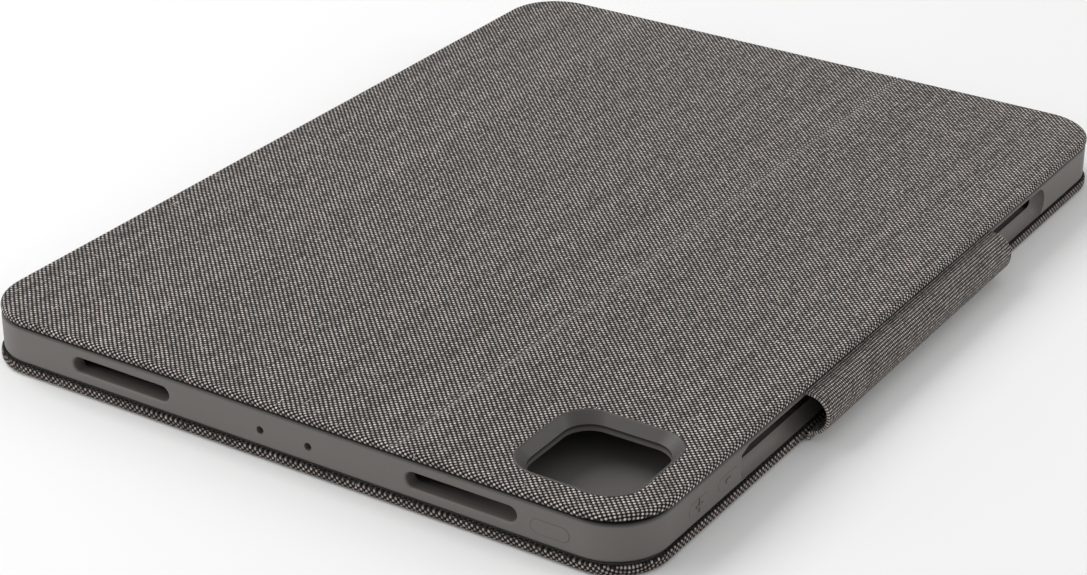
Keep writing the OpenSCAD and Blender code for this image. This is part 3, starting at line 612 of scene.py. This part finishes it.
# %% [markdown]
# ## The rim round the camera opening
#
# The rim stands a little above the cloth, with a rolled edge, and its inside slopes down and in to
# the tray. It is a plate whose top is inset, pushed down and made smaller, then opened.

# %% Camera rim
RIM_BOTTOM, RIM_RING, RIM_ROUND = 0.0131, 0.0005, 0.00022
RIM_NARROWS = (LENS[1][0] - LENS[0][0]) / (rim_high.x - rim_low.x - 2 * RIM_RING)
camera_rim = plate("camera_rim", (rim_low.x, rim_low.y, RIM_BOTTOM), rim_high, RIM_CORNER, 12)
pick("FACE", lambda f: f.normal.z > 0.9)
bpy.ops.mesh.inset(thickness=RIM_RING)
bpy.ops.mesh.extrude_region_move(TRANSFORM_OT_translate={"value": (0, 0, RIM_BOTTOM - rim_high.z)})
bpy.ops.transform.resize(value=(RIM_NARROWS, RIM_NARROWS, 1),
                         center_override=(camera_middle.x, camera_middle.y, RIM_BOTTOM))
bpy.ops.mesh.delete(type="ONLY_FACE")
pick("FACE", lambda f: f.normal.z < -0.9)
bpy.ops.mesh.delete(type="ONLY_FACE")
pick("EDGE", edge_at(RIM_BOTTOM))
bpy.ops.mesh.bridge_edge_loops()
pick("EDGE", lambda e: edge_at(rim_high.z)(e) and any(f.normal.z < 0.9 for f in e.link_faces))
bevel_picked(RIM_ROUND, 4)
pick("FACE", lambda f: True)
bpy.ops.mesh.normals_make_consistent(inside=False)
put_down()
smooth(camera_rim, 50)
settle(camera_rim, "tray", "soft_shell", "camera_bezel")

# %% [markdown]
# ## Deck, keys, trackpad and buttons
#
# These hard shapes are right as measured, and only their sharp edges give them away. So each is a
# copy of its node. The copy's loose triangles are merged, flat areas become single faces again,
# and then the edges are rounded.

# %% Softened copies
def soften(node, name, material_slot, width, steps=3):
    """A copy of a measured node with rounded edges, which replaces it."""
    put_down()
    piece = bpy.data.objects.new(name, frame["nodes"][node].data.copy())
    scene.collection.objects.link(piece)
    piece.data.materials.clear()
    pick_up(piece, "EDIT")
    bpy.ops.mesh.select_all(action="SELECT")
    bpy.ops.mesh.customdata_custom_splitnormals_clear()
    bpy.ops.mesh.remove_doubles(threshold=0.000001)
    bpy.ops.mesh.dissolve_limited(angle_limit=math.radians(1))
    finish_with(piece, "BEVEL", width=width, segments=steps, limit_method="ANGLE",
                angle_limit=math.radians(40))
    smooth(piece)
    settle(piece, frame["nodes"][node]["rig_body"], material_slot, node)
    return piece


deck = soften("deck_cover", "soft_deck", "deck_skin", 0.0003, 2)
KEY_NODES = ("function_keys", "number_keys", "upper_keys", "home_keys", "lower_keys", "bottom_keys",
             "backspace_key", "tab_key", "caps_key", "return_key", "left_shift_key", "right_shift_key",
             "space_bar")
keys = [soften(node, node.replace("_keys", "_caps").replace("_key", "_cap").replace("_bar", "_bar_cap"),
               "key_plastic", 0.00018) for node in KEY_NODES]
pad = soften("trackpad", "trackpad_glass", "pad_surface", 0.00015, 2)
buttons = [soften("power_button", "power_cap", "soft_shell", 0.0001),
           soften("volume_up_button", "volume_up_cap", "soft_shell", 0.00005),
           soften("volume_down_button", "volume_down_cap", "soft_shell", 0.00005)]

# %% [markdown]
# The volume buttons carry a raised plus and minus, so that they can be told apart by touch. Each
# mark is a flat bar, or two that cross, and rides on its button's body.

# %% Marks on the volume buttons
MARK_FRONT, MARK_BACK, UPRIGHT_BACK = -0.0947, -0.0943, -0.09431


def bar(name, x, wide, tall, back=MARK_BACK):
    """A small round-ended bar that stands out from the front of a button."""
    mark = pill((x - wide / 2, MARK_FRONT, BUTTON_Z - tall / 2), (x + wide / 2, back, BUTTON_Z + tall / 2), 1)
    mark.name = mark.data.name = name
    finish_with(mark, "BEVEL", width=0.00008, segments=2, limit_method="ANGLE",
                angle_limit=math.radians(50))
    return mark


plus_x, minus_x = VOLUME_X
marks = [bar("plus_level", plus_x, 0.0032, 0.0006),
         bar("plus_upright", plus_x, 0.0006, 0.0035, UPRIGHT_BACK),
         bar("minus", minus_x, 0.0026, 0.0011)]
for mark, button in zip(marks, ("volume_up_button", "volume_up_button", "volume_down_button")):
    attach(mark, frame["nodes"][button]["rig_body"])
print("marks:", [m.name for m in marks])

# %% [markdown]
# ## Finishes
#
# Each material is built from nodes, and what several materials share is a node group: one for the
# weave, and one for the fine grain of every other piece. A short helper adds a maths node, and
# another makes a group with named sockets.

# %% Helpers for nodes
def calc(tree, operation, *values):
    """A maths node on numbers or sockets. Returns its result."""
    node = tree.nodes.new("ShaderNodeMath")
    node.operation = operation
    for socket, value in zip(node.inputs, values):
        if isinstance(value, (int, float)):
            socket.default_value = value
        else:
            tree.links.new(value, socket)
    return node.outputs[0]


def add_node(tree, kind, inputs=(), **settings):
    """Any other node, with its settings and its inputs set or linked."""
    node = tree.nodes.new("ShaderNode" + kind)
    for name, value in settings.items():
        setattr(node, name, value)
    for name, value in dict(inputs).items():
        if isinstance(value, bpy.types.NodeSocket):
            tree.links.new(value, node.inputs[name])
        else:
            node.inputs[name].default_value = value
    return node


def mix_colours(tree, amount, first, second, kind="MIX"):
    """Mixes two colours by an amount from 0 to 1."""
    node = tree.nodes.new("ShaderNodeMix")
    node.data_type, node.blend_type = "RGBA", kind
    for index, value in ((0, amount), (6, first), (7, second)):
        if isinstance(value, bpy.types.NodeSocket):
            tree.links.new(value, node.inputs[index])
        else:
            node.inputs[index].default_value = value
    return node.outputs[2]


def new_group(name, inputs, outputs):
    """A node group with named inputs (name, kind, value) and outputs (name, kind)."""
    tree = bpy.data.node_groups.new(name, "ShaderNodeTree")
    for label, kind, value in inputs:
        socket = tree.interface.new_socket(label, in_out="INPUT", socket_type="NodeSocket" + kind)
        if value is not None:
            socket.default_value = value
    for label, kind in outputs:
        tree.interface.new_socket(label, in_out="OUTPUT", socket_type="NodeSocket" + kind)
    return tree, tree.nodes.new("NodeGroupInput").outputs, tree.nodes.new("NodeGroupOutput").inputs

# %% [markdown]
# ## The weave
#
# It is a plain weave: each yarn goes over one and under the next. Light yarns run one way and
# near-black yarns the other, so the face shows as a fine check of light pips, whose diagonals read
# as twill from further off. In each cell one yarn is on top. It is round across and arched along
# its length, and that height also darkens the colour where the yarn dives, as painted shade. Yarns
# differ a little from one to the next, and now and then a slub shows as a short pale fleck.

# %% Weave group
weave, w_in, w_out = new_group(
    "plain_weave",
    [("Map", "Vector", None), ("Cell", "Float", 0.00074), ("Light Yarn", "Color", (1, 1, 1, 1)),
     ("Dark Yarn", "Color", (0, 0, 0, 1)), ("Slubs", "Float", 0.5)],
    [("Color", "Color"), ("Height", "Float"), ("Roughness", "Float")])
drift = add_node(weave, "TexNoise", {"Vector": w_in["Map"], "Scale": 70.0, "Detail": 2.0})
shake = add_node(weave, "TexNoise", {"Vector": w_in["Map"], "Scale": 900.0, "Detail": 1.0})
drifted = add_node(weave, "VectorMath", {0: drift.outputs["Color"], 1: (0.00055,) * 3, 2: w_in["Map"]},
                   operation="MULTIPLY_ADD").outputs[0]
shaken = add_node(weave, "VectorMath", {0: shake.outputs["Color"], 1: (0.00016,) * 3, 2: drifted},
                  operation="MULTIPLY_ADD").outputs[0]
place = add_node(weave, "SeparateXYZ", {0: shaken}).outputs
u = calc(weave, "DIVIDE", place[0], w_in["Cell"])
v = calc(weave, "DIVIDE", place[1], w_in["Cell"])
column, row = calc(weave, "FLOOR", u), calc(weave, "FLOOR", v)
light_on_top = calc(weave, "FLOORED_MODULO", calc(weave, "ADD", column, row), 2.0)
across_u = calc(weave, "ABSOLUTE", calc(weave, "MULTIPLY_ADD", calc(weave, "FRACT", u), 2.0, -1.0))
across_v = calc(weave, "ABSOLUTE", calc(weave, "MULTIPLY_ADD", calc(weave, "FRACT", v), 2.0, -1.0))


def yarn_height(across, along):
    """Round across the yarn and arched along it, from 0 to 1."""
    dome = calc(weave, "SQRT", calc(weave, "MAXIMUM", calc(weave, "SUBTRACT", 1.0, calc(
        weave, "POWER", across, 2.0)), 0.0))
    arch = calc(weave, "SUBTRACT", 1.0, calc(weave, "MULTIPLY", calc(weave, "POWER", along, 2.0), 0.6))
    return calc(weave, "MULTIPLY", dome, arch)


light_height = yarn_height(across_v, across_u)
dark_height = yarn_height(across_u, across_v)
height_mix = add_node(weave, "Mix", data_type="FLOAT")
weave.links.new(light_on_top, height_mix.inputs[0])
weave.links.new(dark_height, height_mix.inputs[2])
weave.links.new(light_height, height_mix.inputs[3])
height = height_mix.outputs[0]

# %% [markdown]
# The colour picks the yarn on top, or a slub, and multiplies it by a grey that varies from cell to
# cell and from yarn to yarn, and that falls off as painted shade where the yarn dives.

# %% Weave group: colour
cell_place = add_node(weave, "CombineXYZ", {0: column, 1: row}).outputs[0]
pip = add_node(weave, "TexWhiteNoise", {"Vector": cell_place}, noise_dimensions="2D").outputs["Value"]
yarn = add_node(weave, "TexWhiteNoise", {"W": row}, noise_dimensions="1D").outputs["Value"]
long_streaks = add_node(weave, "VectorMath", {0: shaken, 1: (260.0, 1350.0, 1.0)},
                        operation="MULTIPLY").outputs[0]
streak = add_node(weave, "TexNoise", {"Vector": long_streaks, "Scale": 1.0, "Detail": 1.0}).outputs["Fac"]
slub = calc(weave, "MULTIPLY", calc(weave, "GREATER_THAN", streak, 0.71), w_in["Slubs"])
lively = calc(weave, "ADD", calc(weave, "MULTIPLY_ADD", pip, 0.6, 0.45), calc(
    weave, "MULTIPLY_ADD", yarn, 0.3, -0.02))
# Painted shade: the yarn's colour darkens where it dives under the next.
dive_shade = calc(weave, "MULTIPLY_ADD", calc(weave, "POWER", height, 2.0), 0.95, 0.05)
pale = calc(weave, "MAXIMUM", light_on_top, slub)
yarns = mix_colours(weave, pale, w_in["Dark Yarn"], w_in["Light Yarn"])
shade = calc(weave, "MULTIPLY", lively, dive_shade)
grey = add_node(weave, "CombineColor", {0: shade, 1: shade, 2: shade}).outputs[0]
weave.links.new(mix_colours(weave, 1.0, yarns, grey, "MULTIPLY"), w_out["Color"])
weave.links.new(height, w_out["Height"])
weave.links.new(calc(weave, "MULTIPLY_ADD", height, -0.15, 0.95), w_out["Roughness"])

# %% [markdown]
# ## Grain
#
# Plastic, rubber, metal and suede all have a fine grain, and broad faint patches where they were
# handled. The group takes a colour and a scale, and gives back a colour, a height and a roughness.

# %% Grain group
grain, g_in, g_out = new_group(
    "fine_grain",
    [("Place", "Vector", None), ("Scale", "Float", 2500.0), ("Colour", "Color", (0.1, 0.1, 0.1, 1)),
     ("Patches", "Float", 0.1), ("Roughness", "Float", 0.5)],
    [("Color", "Color"), ("Height", "Float"), ("Roughness", "Float")])
fine = add_node(grain, "TexNoise", {"Vector": g_in["Place"], "Scale": g_in["Scale"], "Detail": 3.0,
                                    "Roughness": 0.6}).outputs["Fac"]
broad = add_node(grain, "TexNoise", {"Vector": g_in["Place"], "Scale": 22.0, "Detail": 3.0}).outputs["Fac"]
patch = calc(grain, "MULTIPLY", calc(grain, "SUBTRACT", broad, 0.5), g_in["Patches"])
bright = calc(grain, "ADD", calc(grain, "MULTIPLY_ADD", fine, 0.16, 0.92), patch)
level = add_node(grain, "CombineColor", {0: bright, 1: bright, 2: bright}).outputs[0]
grain.links.new(mix_colours(grain, 1.0, g_in["Colour"], level, "MULTIPLY"), g_out["Color"])
grain.links.new(fine, g_out["Height"])
grain.links.new(calc(grain, "ADD", g_in["Roughness"], calc(grain, "MULTIPLY", patch, 0.6)),
                g_out["Roughness"])

# %% [markdown]
# ## Materials
#
# One helper makes a material and one plugs a group into it. On top of them there is one function for
# cloth and one for everything moulded. Two more add what a material needs in one place only: the
# paler band along the crease of the back, and painted shade at the seams where two pieces meet.

# %% Materials from the groups
CREASE_PALING = 0.42


def new_material(name, **values):
    """A material with one Principled shader. Returns the material, its tree and the shader."""
    material = bpy.data.materials.new(name)
    material.use_nodes = True
    tree = material.node_tree
    shader = tree.nodes["Principled BSDF"]
    for label, value in values.items():
        shader.inputs[label.replace("_", " ")].default_value = value
    return material, tree, shader


def connect(tree, shader, group, inputs, bump, depth):
    """Places a group, and feeds its colour, roughness and height to the shader."""
    node = add_node(tree, "Group", node_tree=group)
    for label, value in inputs.items():
        if isinstance(value, bpy.types.NodeSocket):
            tree.links.new(value, node.inputs[label])
        else:
            node.inputs[label].default_value = value
    tree.links.new(node.outputs["Color"], shader.inputs["Base Color"])
    tree.links.new(node.outputs["Roughness"], shader.inputs["Roughness"])
    relief = add_node(tree, "Bump", {"Strength": bump, "Distance": depth, "Height": node.outputs["Height"]})
    tree.links.new(relief.outputs["Normal"], shader.inputs["Normal"])


def paler_crease_band(tree, cloth_map, light, dark):
    """Both yarns of a panel, made paler in an uneven band along the crease."""
    along = add_node(tree, "SeparateXYZ", {0: cloth_map}).outputs[1]
    ragged = add_node(tree, "TexNoise", {"Vector": cloth_map, "Scale": 420.0, "Detail": 3.0}).outputs["Fac"]
    wander = calc(tree, "MULTIPLY_ADD", ragged, 0.0016, -0.0008)
    off = calc(tree, "ABSOLUTE", calc(tree, "SUBTRACT", calc(tree, "ADD", along, wander), CREASE_Y))
    band = add_node(tree, "MapRange", {"Value": off, "From Min": 0.0017, "From Max": 0.0004},
                    interpolation_type="SMOOTHSTEP").outputs[0]
    paling = calc(tree, "MULTIPLY", band, CREASE_PALING)
    return (mix_colours(tree, paling, light, (0.62, 0.57, 0.53, 1)),
            mix_colours(tree, paling, dark, (0.25, 0.23, 0.215, 1)))


def cloth(name, cell, light, dark, slubs, turned=0.0, creased=False):
    """Woven cloth, laid by the piece's own map."""
    material, tree, shader = new_material(name, Sheen_Weight=0.04, Sheen_Roughness=0.6)
    shader.inputs["Specular IOR Level"].default_value = 0.1
    cloth_map = add_node(tree, "UVMap", uv_map="cloth").outputs[0]
    if creased:
        light, dark = paler_crease_band(tree, cloth_map, light, dark)
    if turned:
        cloth_map = add_node(tree, "Mapping", {"Vector": cloth_map,
                                               "Rotation": (0, 0, math.radians(turned))}).outputs[0]
    connect(tree, shader, weave, {"Map": cloth_map, "Cell": cell, "Light Yarn": light,
                                  "Dark Yarn": dark, "Slubs": slubs}, 0.7, 0.00022)
    return material


def moulded(name, colour, scale, patches, roughness, bump, depth, **values):
    """Plastic, rubber, metal or board, with grain at its own scale."""
    material, tree, shader = new_material(name, **values)
    at = add_node(tree, "TexCoord").outputs["Object"]
    connect(tree, shader, grain, {"Place": at, "Scale": scale, "Colour": colour + (1,),
                                  "Patches": patches, "Roughness": roughness}, bump, depth)
    return material


def paint_seam_shade(material, z_dark, z_clear):
    """Paints shade into a material: darker towards the height of a seam, where the two pieces shade each
    other.
    """
    tree = material.node_tree
    colour = tree.nodes["Principled BSDF"].inputs["Base Color"]
    z = add_node(tree, "SeparateXYZ", {0: add_node(tree, "TexCoord").outputs["Object"]}).outputs[2]
    clear = add_node(tree, "MapRange", {"Value": z, "From Min": z_dark, "From Max": z_clear},
                     interpolation_type="SMOOTHSTEP").outputs[0]
    level = calc(tree, "MULTIPLY_ADD", clear, 0.85, 0.15)
    grey = add_node(tree, "CombineColor", {0: level, 1: level, 2: level}).outputs[0]
    tree.links.new(mix_colours(tree, 1.0, colour.links[0].from_socket, grey, "MULTIPLY"), colour)

# %% [markdown]
# ## Putting the finishes on
#
# Cloth first, then the soft grey plastic of the tray and buttons, with a darker copy of it on the
# camera rim as painted shade, and then what hides inside: plates, magnets, contacts and sheets.
# Every piece has a finish.

# %% Finishes
LIGHT_YARN, DARK_YARN = (0.69, 0.622, 0.582, 1), (0.015, 0.012, 0.010, 1)
PANEL_CELL, STRIP_CELL = 0.00074, 0.0005
panel_cloth = cloth("panel_cloth", PANEL_CELL, LIGHT_YARN, DARK_YARN, 0.8, creased=True)
# The base's light yarn is darker than the back's: painted shade, for the base lying in the tray's shade.
base_cloth_painted_shade = cloth("base_cloth_painted_shade", PANEL_CELL, (0.46, 0.40, 0.365, 1), DARK_YARN, 0.8)
strip_cloth = cloth("strip_cloth", STRIP_CELL, LIGHT_YARN, (0.035, 0.031, 0.028, 1), 0.5, turned=45.0)
# Each has a colour, a grain scale, patches, a roughness, a bump strength and a bump depth.
# The rim's colour is the tray's soft plastic made darker: painted shade.
rim_plastic_painted_shade = moulded("rim_plastic_painted_shade", (0.052, 0.046, 0.042), 2600.0, 0.08, 0.45, 0.05, 0.00003)
soft_plastic = moulded("soft_plastic", (0.122, 0.111, 0.102), 2600.0, 0.12, 0.55, 0.12, 0.00005)
deck_plastic = moulded("deck_plastic", (0.115, 0.108, 0.102), 1800.0, 0.10, 0.62, 0.2, 0.00006)
key_plastic = moulded("key_plastic", (0.10, 0.096, 0.093), 3200.0, 0.08, 0.48, 0.1, 0.00004)
pad_face = moulded("pad_face", (0.105, 0.10, 0.097), 5200.0, 0.06, 0.38, 0.05, 0.00002)
suede = moulded("suede", (0.10, 0.094, 0.09), 3800.0, 0.5, 0.92, 0.5, 0.00012, Sheen_Weight=0.4)
steel = moulded("steel", (0.52, 0.53, 0.54), 900.0, 0.2, 0.32, 0.1, 0.00002, Metallic=1.0)
magnet = moulded("magnet", (0.62, 0.62, 0.60), 1500.0, 0.25, 0.24, 0.08, 0.00002, Metallic=1.0)
brass = moulded("brass", (0.75, 0.56, 0.26), 1500.0, 0.2, 0.22, 0.06, 0.00001, Metallic=1.0)
black_plastic = moulded("black_plastic", (0.018, 0.018, 0.019), 2400.0, 0.3, 0.42, 0.15, 0.00003)
rubber = moulded("rubber", (0.62, 0.62, 0.58), 1600.0, 0.15, 0.5, 0.1, 0.00003)
film = moulded("film", (0.32, 0.13, 0.03), 700.0, 0.3, 0.3, 0.05, 0.00002)
circuit = moulded("circuit", (0.03, 0.12, 0.06), 1200.0, 0.5, 0.4, 0.1, 0.00003)
key_sheet = moulded("key_sheet", (0.020, 0.021, 0.020), 1200.0, 0.4, 0.5, 0.1, 0.00003)

# Painted shade: each material darkens towards the seam where the back meets the tray, and where the tray
# meets the base.
paint_seam_shade(panel_cloth, PANEL_LOW.z, PANEL_LOW.z + 0.0008)
paint_seam_shade(soft_plastic, tray_high.z, tray_high.z - 0.0011)
paint_seam_shade(base_cloth_painted_shade, base_high.z, base_high.z - 0.0002)

OUTSIDE = {
    panel_cloth: [woven_back],
    base_cloth_painted_shade: [woven_base],
    strip_cloth: [woven_flap, lower_spine, upper_spine],
    soft_plastic: [soft_tray, *buttons, *marks],
    rim_plastic_painted_shade: [camera_rim],
    deck_plastic: [deck],
    key_plastic: keys,
    pad_face: [pad],
}
INSIDE = {
    suede: ("panel_core", "kickstand_plate", "latch_core"),
    steel: ("base_plate", "trackpad_frame", "fixed_leaves", "moving_leaves", "hinge_pins"),
    magnet: ("keyboard_magnets", "tray_magnets", "kickstand_magnets", "latch_magnets"),
    brass: ("contact_pin_1", "contact_pin_2", "contact_pin_3"),
    black_plastic: ("pad_switch", "connector_block"),
    rubber: ("key_domes",),
    film: ("spine_cable",),
    circuit: ("controller_board",),
    key_sheet: ("key_circuit",),
}
for material, pieces in list(OUTSIDE.items()) + [(m, [frame["nodes"][n] for n in names])
                                              for m, names in INSIDE.items()]:
    for piece in pieces:
        piece.data.materials.clear()
        piece.data.materials.append(material)
print("materials:", len(OUTSIDE) + len(INSIDE))

# %% [markdown]
# ## Floor and lamps
#
# The floor is plain and pale. One broad lamp above and beyond the spine lights the back softly. Two
# weak ones fill the walls that face the camera: one stands off the left end, one off the latch.

# %% Floor and lamps
FLOOR_SIZE, FLOOR_Z = 8, -0.0001
put_down()
bpy.ops.mesh.primitive_plane_add(size=FLOOR_SIZE, location=(0, 0, FLOOR_Z))
floor = bpy.context.object
floor.name = "floor"
floor_paint, _, floor_shader = new_material("floor_paint")
floor_shader.inputs["Base Color"].default_value = (0.86, 0.86, 0.86, 1)
floor_shader.inputs["Roughness"].default_value = 0.9
floor.data.materials.append(floor_paint)

world = scene.world or bpy.data.worlds.new("room")
scene.world = world
world.use_nodes = True
world.node_tree.nodes["Background"].inputs["Color"].default_value = (1, 1, 1, 1)
world.node_tree.nodes["Background"].inputs["Strength"].default_value = 0.62
scene.view_settings.view_transform = "Standard"


def lamp(name, place, size, power):
    """A square lamp that faces the middle of the case."""
    light = bpy.data.lights.new(name, "AREA")
    light.shape, light.size, light.energy = "SQUARE", size, power
    holder = bpy.data.objects.new(name, light)
    scene.collection.objects.link(holder)
    holder.location = place
    holder.rotation_euler = (-Vector(place)).to_track_quat("-Z", "Y").to_euler()


lamp("key_lamp", (-0.15, 0.95, 1.05), 0.9, 11.0)
lamp("side_lamp", (-0.75, 0.55, 0.35), 0.5, 2.0)
lamp("front_lamp", (0.6, -0.95, 0.5), 0.6, 2.6)
print("lamps set")

# %% [markdown]
# ## Finish
#
# Nothing is left selected, and the scene is brought up to date.

# %% Finish
put_down()
bpy.context.view_layer.update()
